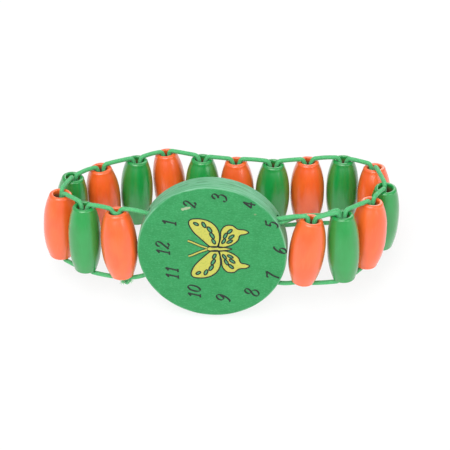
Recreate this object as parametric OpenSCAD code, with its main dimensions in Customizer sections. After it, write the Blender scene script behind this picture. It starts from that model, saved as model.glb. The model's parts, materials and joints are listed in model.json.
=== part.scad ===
// Toy watch: a painted wooden dial on an elastic bracelet of wooden spindle beads.
// The ring of beads is drawn in its own plane, with the dial's middle at the origin, the dial facing -Y
// and the beads' bores along Z. The whole ring is then tilted back until it stands on the dial's lower
// edge and on the elastic under two rear beads.

/* [Beads] */
// Length of a bead along its bore
bead_l = 16.4; // [14:0.1:18]
// Diameter to which a bead draws in towards its two ends
bead_end_d = 4.7; // [4.7:0.05:5.2]
// Radius that rounds a bead's outer edge at each end
bead_edge = 0.6; // [0.3:0.05:0.6]
// Diameter of the bore through a bead
bore_d = 3.2; // [3.1:0.02:3.24]
// Radius of the worn edge at each mouth of the bore
mouth_round = 0.3; // [0.1:0.05:0.3]
// Distance from one bead's bore to the next along the band
bead_pitch = 8.25; // [8.2:0.01:8.3]

/* [Dial] */
// Diameter of the wooden disc
dial_d = 33; // [32:0.1:33.2]
// Thickness of the wooden disc
dial_t = 5; // [4:0.1:6]
// Radius that rounds the disc's two edges
dial_edge = 0.4; // [0.2:0.05:0.8]
// Diameter of each channel drilled through the disc for the elastic
channel_d = 2.4; // [2.2:0.05:2.6]
// Distance from the disc's middle to each channel
channel_out = 7.85; // [7.6:0.05:8]
// How far the disc has turned clockwise on the elastic, in degrees
dial_turn = 1.4; // [0:0.1:2]
// Distance from the disc's middle to the bore of the first bead on each side
first_bead = 20.8; // [20.8:0.05:21]

/* [Elastic] */
// Thickness of the elastic cord
elastic_d = 1; // [0.9:0.01:1]
// Distance from a bore's middle to each strand in its mouth
strand_side = 0.7; // [0.7:0.01:0.75]
// Height of a strand's middle above the bead's end
strand_rise = 0.8; // [0.75:0.01:0.9]
// Radius of the bend where a strand turns over the mouth
elbow_r = 1; // [0.9:0.05:1.1]
// Length of a strand below the bend, inside the bore
stub_l = 1.6; // [1.2:0.1:2]
// Sideways distance that the two strands keep where they cross inside a bead
cross_side = 0.95; // [0.9:0.01:1]
// Space left between two stretches of elastic that move apart
slack = 0.15; // [0.1:0.01:0.2]

/* [Hidden] */
// Directions from each bead to the next, in degrees, counted from the dial outwards
right_headings = [16, 48, 66, 105, 154, 188, 193, 177];
left_headings = [166, 140, 82, 35, 28, 27];
// How far each bead leans to the right and away from the dial, in degrees
right_leans = [[6, -2], [-3, 0], [3, 1], [1, -7], [-2, 4], [0, 0], [0, -1], [1, -1], [-2, 0]];
left_leans = [[-3, 1], [1, 0], [3, -1], [6, -3], [-2, -4], [2, 0], [-5, 1], [0, 0]];
// Diameter of each bead at its middle, as hand-turned beads vary
right_widths = [7.9, 7.2, 8, 7, 7.8, 7.6, 7.9, 7.9, 7.9];
left_widths = [8.1, 7.3, 7.7, 7.4, 7.9, 7.5, 7.6, 8];
// Where the loose end of the elastic runs behind the first right bead, and where it comes round again
tail_out = [[14.2, 0, 6.8], [16, 0.6, 6.8], [18, 2.1, 6.6], [20, 3.7, 6.4], [21, 4.3, 6.3]];
tail_in = [[23.2, 4.5, 6.6], [24.8, 4.2, 7.6], [26, 3.8, 8.6],
    [27, 3.6, 9], [27.6, 3.5, 9]];

half_l = bead_l / 2;
strand_z = half_l + strand_rise;
strand_reach = strand_side + elbow_r;
stub_z = strand_z - elbow_r - stub_l;
channel_half = sqrt(pow(dial_d / 2, 2) - pow(channel_out, 2));
// Where a strand's middle lies in a dial channel, and how far it reaches past the channel's end
channel_side = 0.4;
channel_slack = 0.3;
elbow_step = 30;
knot_ring = 0.5;
knot_cord = 0.9;
knot_side = 0.8;
knot_drop = 0.6;
knot_fn = 24;
bead_fn = 48;
dial_fn = 96;
cord_sides = 8;
barrel_steps = 14;
barrel_power = 2.4;
shoulder_z = half_l - bead_edge;

function unit(v) = v / norm(v);
function side_of(v) = [-v[1], v[0], 0];
// A quarter circle that rounds an edge: how far it draws in from each of the two faces
function edge_curve(r) = [for (a = [0:30:90]) [r * (1 - sin(a)), r * (1 - cos(a))]];
function backwards(list) = [for (k = [len(list) - 1:-1:0]) list[k]];
// A bead's place after n steps from the first one
function walk(first, headings, n) = n == 0 ? first
    : walk(first, headings, n - 1) + bead_pitch * [cos(headings[n - 1]), sin(headings[n - 1]), 0];
// The bead that touches both a and b, on the left of the line from a to b
function between(a, b) =
    let (half = norm(b - a) / 2, way = unit(b - a))
    (a + b) / 2 - side_of(way) * sqrt(pow(bead_pitch, 2) - pow(half, 2));
// A bead's radius at height z from its middle
function barrel_r(width, z) = width / 2 - (width - bead_end_d) / 2 * pow(abs(z) / half_l, barrel_power);
function bore_axis(lean) = [cos(lean[1]) * sin(lean[0]), sin(lean[1]), cos(lean[1]) * cos(lean[0])];

right_beads = [for (k = [0:len(right_headings)]) walk([first_bead, 0, 0], right_headings, k)];
left_walk = [for (k = [0:len(left_headings)]) walk([-first_bead, 0, 0], left_headings, k)];
left_beads = concat(left_walk, [between(left_walk[len(left_walk) - 1], right_beads[len(right_beads) - 1])]);
right_count = len(right_beads);
left_count = len(left_beads);

// The middle of a bead's mouth, at the strands' height: up is 1 for the top and -1 for the bottom
function mouth(bead, lean, up) =
    let (a = bore_axis(lean) * half_l * up) [bead[0] + a[0], bead[1] + a[1], strand_z * up];
// The end of a dial channel: right is 1 or -1, up is 1 or -1
function channel_end(right, up) =
    let (c = cos(dial_turn), s = sin(dial_turn), x = right * channel_half, z = up * channel_out)
    [x * c + z * s, 0, z * c - x * s];

// The tilt at which the dial's lower edge and the elastic under the rear beads are level
rear_y = max([for (b = concat(right_beads, left_beads)) b[1]]) - 0.4;
stand_a = dial_d / 2 - dial_edge - strand_z;
stand_b = rear_y - dial_t / 2 + dial_edge;
tilt = acos((elastic_d / 2 - dial_edge) / norm([stand_a, stand_b])) - atan2(stand_b, stand_a);
dial_low = (dial_d / 2 - dial_edge) * cos(tilt) + (dial_t / 2 - dial_edge) * sin(tilt) + dial_edge;
left_end = min([for (k = [0:left_count - 1]) left_beads[k][0] - left_widths[k] / 2]);
right_end = max([for (k = [0:right_count - 1]) right_beads[k][0] + right_widths[k] / 2]);
front_end = -(dial_t / 2 - dial_edge) * cos(tilt) - (dial_d / 2 - dial_edge) * sin(tilt) - dial_edge;
// The point of a bead that is furthest back once the ring is tilted
function bead_back(y, width) =
    max([for (z = [0:0.5:half_l]) (y + barrel_r(width, z)) * cos(tilt) + z * sin(tilt)]);
rear_end = max(concat(
    [for (k = [0:right_count - 1]) bead_back(right_beads[k][1], right_widths[k])],
    [for (k = [0:left_count - 1]) bead_back(left_beads[k][1], left_widths[k])]));
origin_x = (left_end + right_end) / 2;
origin_y = (front_end + rear_end) / 2;

// Stands the ring on the table
module standing() {
    translate([-origin_x, -origin_y, dial_low])
        rotate([-tilt, 0, 0])
            children();
}

module dial_paint() {
    color([0.24, 0.64, 0.38]) children();
}

// Beads are orange and green in turn, counted from the dial
module bead_paint(n) {
    color(n % 2 == 1 ? [0.98, 0.42, 0.2] : [0.2, 0.62, 0.35]) children();
}

module cord_green() {
    color([0.38, 0.8, 0.5]) children();
}

// The ring of corners at point n of a tube. Its first corner points along flat, which lies across the route.
function tube_ring(points, flat, n) =
    let (last = len(points) - 1,
        way = unit(points[min(n + 1, last)] - points[max(n - 1, 0)]),
        out = unit(flat - way * (flat * way)),
        over = cross(out, way))
    [for (k = [0:cord_sides - 1], a = 360 / cord_sides * k)
        points[n] + elastic_d / 2 * (out * cos(a) + over * sin(a))];

// A stretch of elastic along points
module tube(points, flat) {
    rings = len(points) - 1;
    first = [0:cord_sides - 1];
    polyhedron(
        points = [for (n = [0:rings]) each tube_ring(points, flat, n)],
        faces = concat(
            [for (k = [1:cord_sides - 2]) [0, k, k + 1]],
            [for (n = [0:rings - 1], k = first, low = n * cord_sides, next = (k + 1) % cord_sides)
                each [[low + k, low + cord_sides + k, low + next],
                    [low + cord_sides + k, low + cord_sides + next, low + next]]],
            [for (k = [1:cord_sides - 2], low = rings * cord_sides) [low, low + k + 1, low + k]]));
}

// The route of a strand from its stub in the bore, up and over the mouth, until it runs level along way
function over_mouth(middle, way, up) =
    let (foot = middle + way * strand_side - [0, 0, elbow_r * up])
    concat([foot - [0, 0, stub_l * up]],
        [for (a = [0:elbow_step:90]) foot + way * elbow_r * (1 - cos(a)) + [0, 0, elbow_r * sin(a) * up]]);

// The strand that leaves bead a for bead b on one side, up to the bend that belongs to bead b
module strand(a, lean_a, b, lean_b, up) {
    from = mouth(a, lean_a, up);
    to = mouth(b, lean_b, up);
    way = unit(to - from);
    tube(concat(over_mouth(from, way, up), [to - way * (strand_reach + slack)]), side_of(way));
}

// The strand from a dial channel to the first bead on that side. It lies against the channel's outer wall.
module dial_strand(b, lean_b, right, up) {
    to = mouth(b, lean_b, up) - [right * (strand_reach + slack), 0, 0];
    from = channel_end(right, up) + [0, 0, channel_side * up];
    way = unit(to - from);
    tube([from - way * channel_slack, to], [0, 1, 0]);
}

// The two strands inside a bead, with the bends on the side that the elastic comes from.
// Each goes in at one end of the bore and out at the other, so they cross at the middle.
module crossing(bead, lean, way_in, way_out) {
    side = side_of(unit(way_in + way_out));
    for (up = [1, -1]) {
        far = mouth(bead, lean, -up);
        tube(concat(
                backwards(over_mouth(mouth(bead, lean, up), -way_in, up)),
                [bead + side * cross_side * up,
                    far + way_out * strand_side + [0, 0, (strand_z - stub_z + slack) * up]]),
            side);
    }
}

// The level way from a to b
function way_between(a, b) = unit([b[0] - a[0], b[1] - a[1], 0]);

module bead_body(width) {
    mouth_r = bore_d / 2;
    outer_r = barrel_r(width, shoulder_z);
    rotate_extrude($fn = bead_fn)
        polygon(concat(
            [for (k = [1:barrel_steps - 1])
                let (z = shoulder_z * (2 * k / barrel_steps - 1))
                [barrel_r(width, z), z]],
            [for (q = backwards(edge_curve(bead_edge))) [outer_r - q[0], half_l - q[1]]],
            [for (q = edge_curve(mouth_round)) [mouth_r + q[0], half_l - q[1]]],
            [for (q = backwards(edge_curve(mouth_round))) [mouth_r + q[0], q[1] - half_l]],
            [for (q = edge_curve(bead_edge)) [outer_r - q[0], q[1] - half_l]]));
}

module bead(at, lean, width) {
    standing()
        translate(at)
            rotate([-lean[1], lean[0], 0])
                bead_body(width);
}

module dial() {
    dial_paint() standing() difference() {
        rotate([90, 0, 0])
            rotate_extrude($fn = dial_fn)
                polygon(concat(
                    [[0, -dial_t / 2]],
                    [for (q = edge_curve(dial_edge)) [dial_d / 2 - q[0], q[1] - dial_t / 2]],
                    [for (q = backwards(edge_curve(dial_edge))) [dial_d / 2 - q[0], dial_t / 2 - q[1]]],
                    [[0, dial_t / 2]]));
        for (up = [1, -1])
            rotate([0, dial_turn, 0])
                translate([-dial_d / 2, 0, channel_out * up])
                    rotate([0, 90, 0])
                        cylinder(d = channel_d, h = dial_d, $fn = bead_fn);
    }
}

module elastic_in_dial() {
    cord_green() standing()
        for (up = [1, -1]) {
            from = channel_end(-1, up) + [0, 0, channel_side * up];
            to = channel_end(1, up) + [0, 0, channel_side * up];
            inset = unit(to - from) * (channel_slack + slack);
            tube([from + inset, to - inset], [0, 1, 0]);
        }
}

// The strands that lead to a bead of the right or left side, counted from the dial
module side_strands(beads, leans, n, right, ups) {
    cord_green() standing()
        for (up = ups)
            if (n == 1)
                dial_strand(beads[0], leans[0], right, up);
            else
                strand(beads[n - 2], leans[n - 2], beads[n - 1], leans[n - 1], up);
}

module side_crossing(beads, leans, n, right, beyond, lean_beyond) {
    bead = beads[n - 1];
    before = n == 1 ? [bead[0] - right, 0, 0] : mouth(beads[n - 2], leans[n - 2], 1);
    after = n == len(beads) ? mouth(beyond, lean_beyond, 1) : mouth(beads[n], leans[n], 1);
    here = mouth(bead, leans[n - 1], 1);
    cord_green() standing()
        crossing(bead, leans[n - 1], way_between(before, n == 1 ? bead : here), way_between(here, after));
}

last_right = right_beads[right_count - 1];
last_left = left_beads[left_count - 1];
lean_right = right_leans[right_count - 1];
lean_left = left_leans[left_count - 1];

module closing_strands() {
    cord_green() standing()
        for (up = [1, -1])
            strand(last_right, lean_right, last_left, lean_left, up);
}

// The bends at the last left bead, where the band closes
module closing_ends() {
    cord_green() standing()
        for (up = [1, -1]) {
            here = mouth(last_left, lean_left, up);
            way = way_between(here, mouth(last_right, lean_right, up));
            tube(over_mouth(here, way, up), side_of(way));
        }
}

// The knot under the first left bead
module knot() {
    at = mouth(left_beads[0], left_leans[0], -1);
    cord_green() standing()
        translate(at + [knot_side, 0, -knot_drop])
            rotate([0, 90, 0])
                rotate_extrude($fn = knot_fn)
                    translate([knot_ring, 0]) circle(d = knot_cord, $fn = knot_fn);
}

// The doubled stretch of elastic beside the dial
module tail(points, flat) {
    cord_green() standing() tube(points, unit(flat));
}

// The rear strands that the watch stands on are nodes of their own
rest_right = 7;
rest_left = 8;

dial();
elastic_in_dial();
knot();
closing_strands();
closing_ends();
side_strands(right_beads, right_leans, rest_right, 1, [-1]);  // rest_strand_right
side_strands(left_beads, left_leans, rest_left, -1, [-1]);  // rest_strand_left

for (n = [1:right_count]) {
    bead_paint(n) bead(right_beads[n - 1], right_leans[n - 1], right_widths[n - 1]);
    union() {
        side_strands(right_beads, right_leans, n, 1, n == rest_right ? [1] : [1, -1]);
        if (n == 1) tail(tail_out, [1, -1, 0]);
        if (n == 2) tail(tail_in, [0, 1, 0]);
    }
    side_crossing(right_beads, right_leans, n, 1, last_left, lean_left);
}

for (n = [1:left_count]) {
    bead_paint(n) bead(left_beads[n - 1], left_leans[n - 1], left_widths[n - 1]);
    side_strands(left_beads, left_leans, n, -1, n == rest_left ? [1] : [1, -1]);
    side_crossing(left_beads, left_leans, n, -1, last_right, lean_right);
}
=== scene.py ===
# %% [markdown]
# # A wooden toy watch
#
# The watch is a painted wooden disc on a bracelet of painted spindle beads. One elastic cord runs
# twice round through all of them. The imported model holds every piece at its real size, and this lesson
# adds the looks: soft turned shapes, paint on wood, the cord's bends and the dial's print.

# %% Load the frame
import json
from math import atan2, cos, degrees, pi, radians, sin
import bpy
from mathutils import Matrix, Vector


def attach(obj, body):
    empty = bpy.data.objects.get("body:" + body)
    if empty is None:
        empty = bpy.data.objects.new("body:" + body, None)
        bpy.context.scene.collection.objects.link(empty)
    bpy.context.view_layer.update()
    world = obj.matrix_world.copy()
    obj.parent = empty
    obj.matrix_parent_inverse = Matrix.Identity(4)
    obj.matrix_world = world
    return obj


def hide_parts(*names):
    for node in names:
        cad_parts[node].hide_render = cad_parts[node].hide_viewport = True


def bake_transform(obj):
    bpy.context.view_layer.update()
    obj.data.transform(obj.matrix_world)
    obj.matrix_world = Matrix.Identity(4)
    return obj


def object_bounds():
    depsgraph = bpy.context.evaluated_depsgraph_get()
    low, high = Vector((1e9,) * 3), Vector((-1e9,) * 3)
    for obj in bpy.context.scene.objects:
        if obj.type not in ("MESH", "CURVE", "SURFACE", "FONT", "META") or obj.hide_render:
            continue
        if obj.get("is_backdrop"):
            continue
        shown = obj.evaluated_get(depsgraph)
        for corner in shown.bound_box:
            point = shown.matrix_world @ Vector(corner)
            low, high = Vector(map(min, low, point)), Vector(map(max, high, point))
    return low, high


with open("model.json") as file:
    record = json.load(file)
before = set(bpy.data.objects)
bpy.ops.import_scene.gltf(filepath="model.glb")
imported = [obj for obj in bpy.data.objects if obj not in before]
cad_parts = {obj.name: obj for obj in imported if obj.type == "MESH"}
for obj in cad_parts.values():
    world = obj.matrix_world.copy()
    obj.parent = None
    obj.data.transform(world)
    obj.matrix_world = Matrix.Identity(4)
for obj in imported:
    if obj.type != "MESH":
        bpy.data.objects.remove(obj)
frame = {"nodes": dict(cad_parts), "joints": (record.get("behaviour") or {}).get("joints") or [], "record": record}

cad_box = [list(corner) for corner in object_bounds()]

# %% [markdown]
# ## Places come from the joints
#
# Every bead turns on its own bore, so its joint says where the bead is and how it leans. Reading the
# places there keeps each piece on the body that carries it. All shapes are drawn in millimetres in the
# ring's own frame: the dial's middle is the origin, X runs to its right, Y to the back of the ring and
# Z up along the bores.

# %% The ring's own frame
MM = 0.001
joints = {joint["name"]: joint for joint in frame["joints"]}
mounts = {mount["name"]: mount for mount in frame["record"]["mounts"]}
dial_front = Vector(mounts["dial_front"]["pos_m"])
dial_back = Vector(mounts["dial_back"]["pos_m"])
ring_up = Vector(joints["band_flex"]["axis"]).normalized()
ring_back = (dial_back - dial_front).normalized()
ring_frame = Matrix((ring_back.cross(ring_up), ring_back, ring_up)).transposed().to_4x4()
ring_frame.translation = (dial_front + dial_back) / 2
ring_frame = ring_frame @ Matrix.Scale(MM, 4)
to_ring = ring_frame.inverted()
print("the ring is tilted back by", round(degrees(atan2(ring_up.y, ring_up.z)), 2), "degrees")

# %% Every bead's middle and bore
COUNTS = {"right": 9, "left": 8}
every_bead = [(side, n) for side, count in COUNTS.items() for n in range(1, count + 1)]


def bead_place(side, n):
    joint = joints[f"turn_{side}_{n}"]
    centre = to_ring @ Vector(joint["pos_m"])
    bore = (to_ring.to_3x3() @ Vector(joint["axis"])).normalized()
    return centre, bore


beads = {
    side: [bead_place(side, n) for n in range(1, count + 1)] for side, count in COUNTS.items()
}
print("first right bead at", [round(value, 2) for value in beads["right"][0][0]])

# %% [markdown]
# ## Helpers for trees
#
# `put` adds one node to any tree, shader or geometry, and wires or sets its inputs. `made` does the
# same and gives back what the node makes. `new_tree` opens a Geometry Nodes tree with named inputs, and
# `smooth_route` starts one from a mesh of edges. `grown` runs a tree on a host object and keeps the
# result as a plain mesh.

# %% Helpers for node trees
def put(tree, kind, inputs=(), **settings):
    node = tree.nodes.new(kind)
    for name, value in settings.items():
        setattr(node, name, value)
    for key, value in dict(inputs).items():
        if isinstance(value, bpy.types.NodeSocket):
            tree.links.new(value, node.inputs[key])
        else:
            node.inputs[key].default_value = value
    return node


def made(tree, kind, inputs=(), **settings):
    return put(tree, kind, inputs, **settings).outputs[0]


def empty_tree(owner):
    owner.use_nodes = True
    owner.node_tree.nodes.clear()
    return owner.node_tree


def maths(tree, operation, first, second=0.0):
    return made(tree, "ShaderNodeMath", {0: first, 1: second}, operation=operation)


def product(tree, first, second):
    return maths(tree, "MULTIPLY", first, second)


def vectors(tree, operation, first, second=(0.0, 0.0, 0.0)):
    return made(tree, "ShaderNodeVectorMath", {0: first, 1: second}, operation=operation)


def scaled(tree, vector, share):
    return made(tree, "ShaderNodeVectorMath", {0: vector, "Scale": share}, operation="SCALE")


def length_of(tree, vector):
    node = put(tree, "ShaderNodeVectorMath", {0: vector}, operation="LENGTH")
    return node.outputs["Value"]


def parts_of(tree, vector):
    return put(tree, "ShaderNodeSeparateXYZ", {0: vector}).outputs


def circle_point(tree, angle):
    """The point of the unit circle that lies at an angle."""
    parts = {"X": maths(tree, "COSINE", angle), "Y": maths(tree, "SINE", angle)}
    return made(tree, "ShaderNodeCombineXYZ", parts)


def new_tree(name, sizes):
    tree = bpy.data.node_groups.new(name, "GeometryNodeTree")
    tree.interface.new_socket("Geometry", in_out="INPUT", socket_type="NodeSocketGeometry")
    for label, kind in sizes.items():
        tree.interface.new_socket(label, in_out="INPUT", socket_type="NodeSocket" + kind)
    tree.interface.new_socket("Geometry", in_out="OUTPUT", socket_type="NodeSocketGeometry")
    return tree, tree.nodes.new("NodeGroupInput").outputs


def smooth_route(tree, given):
    """The host's edges as a smooth curve with even steps."""
    route = made(tree, "GeometryNodeMeshToCurve", {"Mesh": given["Geometry"]})
    smooth = made(tree, "GeometryNodeCurveSplineType", {"Curve": route}, spline_type="CATMULL_ROM")
    sizes = {"Curve": smooth, "Length": given["Step"]}
    return made(tree, "GeometryNodeResampleCurve", sizes, mode="LENGTH")


def finish_tree(tree, result, given):
    whole = made(tree, "GeometryNodeRealizeInstances", {"Geometry": result})
    sizes = {"Geometry": whole, "Material": given["Material"]}
    put(tree, "NodeGroupOutput", {"Geometry": made(tree, "GeometryNodeSetMaterial", sizes)})


# %% Helpers for meshes
def in_scene(name, data):
    thing = bpy.data.objects.new(name, data)
    bpy.context.scene.collection.objects.link(thing)
    return thing


def host(name, points, edges=(), faces=()):
    mesh = bpy.data.meshes.new(name)
    mesh.from_pydata([tuple(point) for point in points], edges, faces)
    return in_scene(name, mesh)


def host_of_lines(name, lines):
    """One host from several open lines, each a list of points."""
    points = [point for line in lines for point in line]
    edges = []
    first = 0
    for line in lines:
        edges += [(first + k, first + k + 1) for k in range(len(line) - 1)]
        first += len(line)
    return host(name, points, edges)


def host_of_loop(name, points):
    return host(name, points, [(k, (k + 1) % len(points)) for k in range(len(points))])


def baked(piece):
    bpy.context.view_layer.update()
    shown = piece.evaluated_get(bpy.context.evaluated_depsgraph_get())
    mesh = bpy.data.meshes.new_from_object(shown)
    mesh.name = piece.name
    piece.modifiers.clear()
    piece.data = mesh
    return piece


def grown(piece, tree, **sizes):
    modifier = piece.modifiers.new(tree.name, "NODES")
    modifier.node_group = tree
    for socket in tree.interface.items_tree:
        if socket.in_out == "INPUT" and socket.name in sizes:
            modifier[socket.identifier] = sizes[socket.name]
    return baked(piece)


# %% [markdown]
# ## Own places for patterns
#
# Grain has to run along each bead, whatever way the bead stands. So every mesh first remembers where
# its points were in its own frame, as an attribute that the materials read, and then moves to its
# place in the ring. The `shift` moves the pattern, so that no two beads show the same grain.

# %% Settle a finished mesh in the ring
def settle(piece, place=Matrix.Identity(4), shift=0.0):
    own = piece.data.attributes.new("own_place", "FLOAT_VECTOR", "POINT")
    for index, vertex in enumerate(piece.data.vertices):
        own.data[index].vector = vertex.co
    grain = piece.data.attributes.new("grain_shift", "FLOAT", "POINT")
    grain.data.foreach_set("value", [shift] * len(piece.data.vertices))
    piece.data.transform(ring_frame @ place)
    return piece


def place_along(centre, along, towards):
    """A frame at centre whose Z runs along and whose X turns towards."""
    z = along.normalized()
    y = z.cross(towards).normalized()
    place = Matrix((y.cross(z), y, z)).transposed().to_4x4()
    place.translation = centre
    return place


# %% [markdown]
# ## Paint on turned wood
#
# The beads were turned on a lathe and dipped in satin paint. The paint follows the wood: faint fibres
# run along the bead, the film is a little uneven, and it is thin on the worn edge of each mouth.
# Inside the bore the wood is bare, and it is painted darker further down as painted shade in the bore.

# %% A shader tree that starts from the own place
def shader(name):
    material = bpy.data.materials.new(name)
    material.use_nodes = True
    tree = material.node_tree
    surface = tree.nodes["Principled BSDF"]
    own = put(tree, "ShaderNodeAttribute", attribute_name="own_place")
    shift = put(tree, "ShaderNodeAttribute", attribute_name="grain_shift")
    moved = vectors(tree, "ADD", own.outputs["Vector"], shift.outputs["Fac"])
    return material, tree, surface, own.outputs["Vector"], moved


def noise(tree, where, scale, detail=2.0, roughness=0.5):
    """Noise with one scale for each axis, or one for all three."""
    scale = scale if isinstance(scale, tuple) else (scale, scale, scale)
    return put(tree, "ShaderNodeTexNoise", {
        "Vector": vectors(tree, "MULTIPLY", where, scale),
        "Scale": 1.0, "Detail": detail, "Roughness": roughness,
    }).outputs["Fac"]


def ramp(tree, value, low, high, start=0.0, end=1.0):
    return made(tree, "ShaderNodeMapRange", {
        "Value": value, "From Min": low, "From Max": high, "To Min": start, "To Max": end,
    }, interpolation_type="SMOOTHSTEP")


def mixed(tree, factor, low, high):
    node = put(tree, "ShaderNodeMix", {0: factor}, data_type="RGBA")
    for socket, value in ((node.inputs[6], low), (node.inputs[7], high)):
        if isinstance(value, bpy.types.NodeSocket):
            tree.links.new(value, socket)
        else:
            socket.default_value = (*value, 1.0)
    return node.outputs[2]


def total(tree, *shares):
    """The sum of values, each given as (value, weight)."""
    result = product(tree, *shares[0])
    for share in shares[1:]:
        result = maths(tree, "ADD", result, product(tree, *share))
    return result


def from_axis(tree, own):
    """How far a point lies from its own Z axis."""
    return length_of(tree, vectors(tree, "MULTIPLY", own, (1.0, 1.0, 0.0)))


def painted(tree, surface, colour, roughness, height, distance, strength):
    """Wires the colour, the roughness and a bump of a film's own relief."""
    relief = {"Height": height, "Distance": distance, "Strength": strength}
    tree.links.new(colour, surface.inputs["Base Color"])
    tree.links.new(made(tree, "ShaderNodeBump", relief), surface.inputs["Normal"])
    if isinstance(roughness, bpy.types.NodeSocket):
        tree.links.new(roughness, surface.inputs["Roughness"])
    else:
        surface.inputs["Roughness"].default_value = roughness


# %% Bead paint
# Bare wood in the bore, darkened as painted shade in the recess.
SHADED_WOOD_IN_BORE = (0.2, 0.11, 0.05)
WORN_HEIGHTS = (7.6, 8.15)
WORN_RADII = (2.6, 1.75)
BARE_AND_SHADED_RADII = (1.72, 1.62)
BARE_AND_SHADED_HEIGHTS = (7.9, 6.6)
BEAD_COAT = {"Coat Weight": 0.9, "Coat IOR": 1.57, "Coat Roughness": 0.25}


def bead_paint(name, paint, thin_paint, deep_paint):
    material, tree, surface, own, moved = shader(name)
    fibres = noise(tree, moved, (3.2, 3.2, 0.22), 3.0)
    clouds = noise(tree, moved, (0.3, 0.3, 0.16))
    specks = noise(tree, moved, 1.6, 3.0, 0.65)
    radius = from_axis(tree, own)
    height = maths(tree, "ABSOLUTE", parts_of(tree, own)["Z"])
    colour = mixed(tree, ramp(tree, clouds, 0.35, 0.68), paint, deep_paint)
    colour = mixed(tree, ramp(tree, fibres, 0.52, 0.8, 0.0, 0.2), colour, thin_paint)
    worn = product(tree, ramp(tree, height, *WORN_HEIGHTS), ramp(tree, radius, *WORN_RADII))
    worn = product(tree, worn, ramp(tree, specks, 0.5, 0.7, 0.15, 0.8))
    colour = mixed(tree, worn, colour, thin_paint)
    # Deeper in the bore the paint gives way to dark brown: bare wood, painted dark as shade in the recess.
    inside = product(tree, ramp(tree, radius, *BARE_AND_SHADED_RADII), ramp(tree, height, *BARE_AND_SHADED_HEIGHTS))
    colour = mixed(tree, inside, colour, SHADED_WOOD_IN_BORE)
    relief = total(tree, (fibres, 0.5), (clouds, 0.8))
    painted(tree, surface, colour, ramp(tree, clouds, 0.3, 0.7, 0.3, 0.38), relief, 0.03 * MM, 0.4)
    for key, value in BEAD_COAT.items():
        surface.inputs[key].default_value = value
    return material


orange_paint = bead_paint(
    "orange_bead_paint", (0.97, 0.13, 0.014), (0.98, 0.22, 0.07), (0.93, 0.106, 0.01),
)
green_paint = bead_paint(
    "green_bead_paint", (0.004, 0.315, 0.053), (0.035, 0.385, 0.115), (0.003, 0.28, 0.042),
)
print("bead paints:", orange_paint.name, green_paint.name)

# %% [markdown]
# ## One lathe for the round pieces
#
# A bead and the disc are both turned shapes: a profile swept round an axis. The host mesh holds the
# profile, written as points that say how far out and how high, and `Curve to Mesh` carries it round a
# circle. A little noise along the normals keeps the dipped paint from looking machined.

# %% The lathe tree
RAIL = 1.0
WELD = 0.0005
UNEVEN_SCALE = 0.32


def lathe_tree():
    sizes = {"Steps": "Int", "Unevenness": "Float", "Seed": "Int", "Material": "Material"}
    tree, given = new_tree("lathe", sizes)
    profile = made(tree, "GeometryNodeMeshToCurve", {"Mesh": given["Geometry"]})
    circle = {"Resolution": given["Steps"], "Radius": RAIL}
    rail = made(tree, "GeometryNodeCurvePrimitiveCircle", circle)
    turned = made(tree, "GeometryNodeCurveToMesh", {"Curve": rail, "Profile Curve": profile})
    welded = made(tree, "GeometryNodeMergeByDistance", {"Geometry": turned, "Distance": WELD})
    pattern = {"W": given["Seed"], "Scale": UNEVEN_SCALE, "Detail": 1.0}
    uneven = made(tree, "ShaderNodeTexNoise", pattern, noise_dimensions="4D")
    swing = maths(tree, "SUBTRACT", uneven, 0.5)
    size = product(tree, swing, given["Unevenness"])
    push = scaled(tree, made(tree, "GeometryNodeInputNormal"), size)
    shaped = made(tree, "GeometryNodeSetPosition", {"Geometry": welded, "Offset": push})
    smooth = made(tree, "GeometryNodeSetShadeSmooth", {"Geometry": shaped})
    finish_tree(tree, smooth, given)
    return tree


lathe = lathe_tree()


def arc(middle, radius, start, end, steps):
    """Points (out, up) on an arc, with the angles in degrees."""
    angles = [radians(start + (end - start) * k / steps) for k in range(steps + 1)]
    return [(middle[0] + radius * cos(a), middle[1] + radius * sin(a)) for a in angles]


def turned_piece(name, profile, closed, steps, unevenness, seed, material):
    points = [(out - RAIL, -up, 0.0) for out, up in profile]
    piece = host_of_loop(name, points) if closed else host_of_lines(name, [points])
    return grown(piece, lathe, Steps=steps, Unevenness=unevenness, Seed=seed, Material=material)


# %% [markdown]
# ## The spindle beads
#
# A spindle bead is fullest at its middle and draws in to two small ends. Its outer edge is soft, and
# the edge of the bore is worn where the elastic lies. The profile runs up the outside, over the end
# and back down the bore. No two beads are equally full, so each takes its width from its own node.

# %% The bead's profile
BEAD_HALF = 8.2
END_R = 2.35
END_EDGE = 0.6
BARREL_POWER = 2.4
MOUTH_EDGE = 0.3
BORE_R = 1.6
BARREL_STEPS = 26
END_STEPS = 8
MOUTH_STEPS = 5
BORE_STEPS = 10
SHOULDER = BEAD_HALF - END_EDGE


def widest(side, n):
    """A bead's largest radius, measured on its node in the model."""
    centre, bore = beads[side][n - 1]
    solid = frame["nodes"][f"bead_{side}_{n}"].data
    arms = [to_ring @ vertex.co - centre for vertex in solid.vertices]
    return max((arm - bore * arm.dot(bore)).length for arm in arms)


def barrel_r(bead_r, z):
    return bead_r - (bead_r - END_R) * (abs(z) / BEAD_HALF) ** BARREL_POWER


def bead_profile(bead_r):
    heights = [SHOULDER * (2 * k / BARREL_STEPS - 1) for k in range(1, BARREL_STEPS)]
    outside = [(barrel_r(bead_r, z), z) for z in heights]
    top = arc((barrel_r(bead_r, SHOULDER) - END_EDGE, SHOULDER), END_EDGE, 0, 90, END_STEPS)
    top += arc((BORE_R + MOUTH_EDGE, BEAD_HALF - MOUTH_EDGE), MOUTH_EDGE, 90, 180, MOUTH_STEPS)
    bore = [(BORE_R, top[-1][1] * (1 - 2 * k / BORE_STEPS)) for k in range(1, BORE_STEPS)]
    bottom = [(out, -up) for out, up in reversed(top)]
    return outside + top + bore + bottom


radii = {(side, n): widest(side, n) for side, n in every_bead}
print("bead widths in mm:", [round(2 * radius, 2) for radius in radii.values()])

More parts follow.
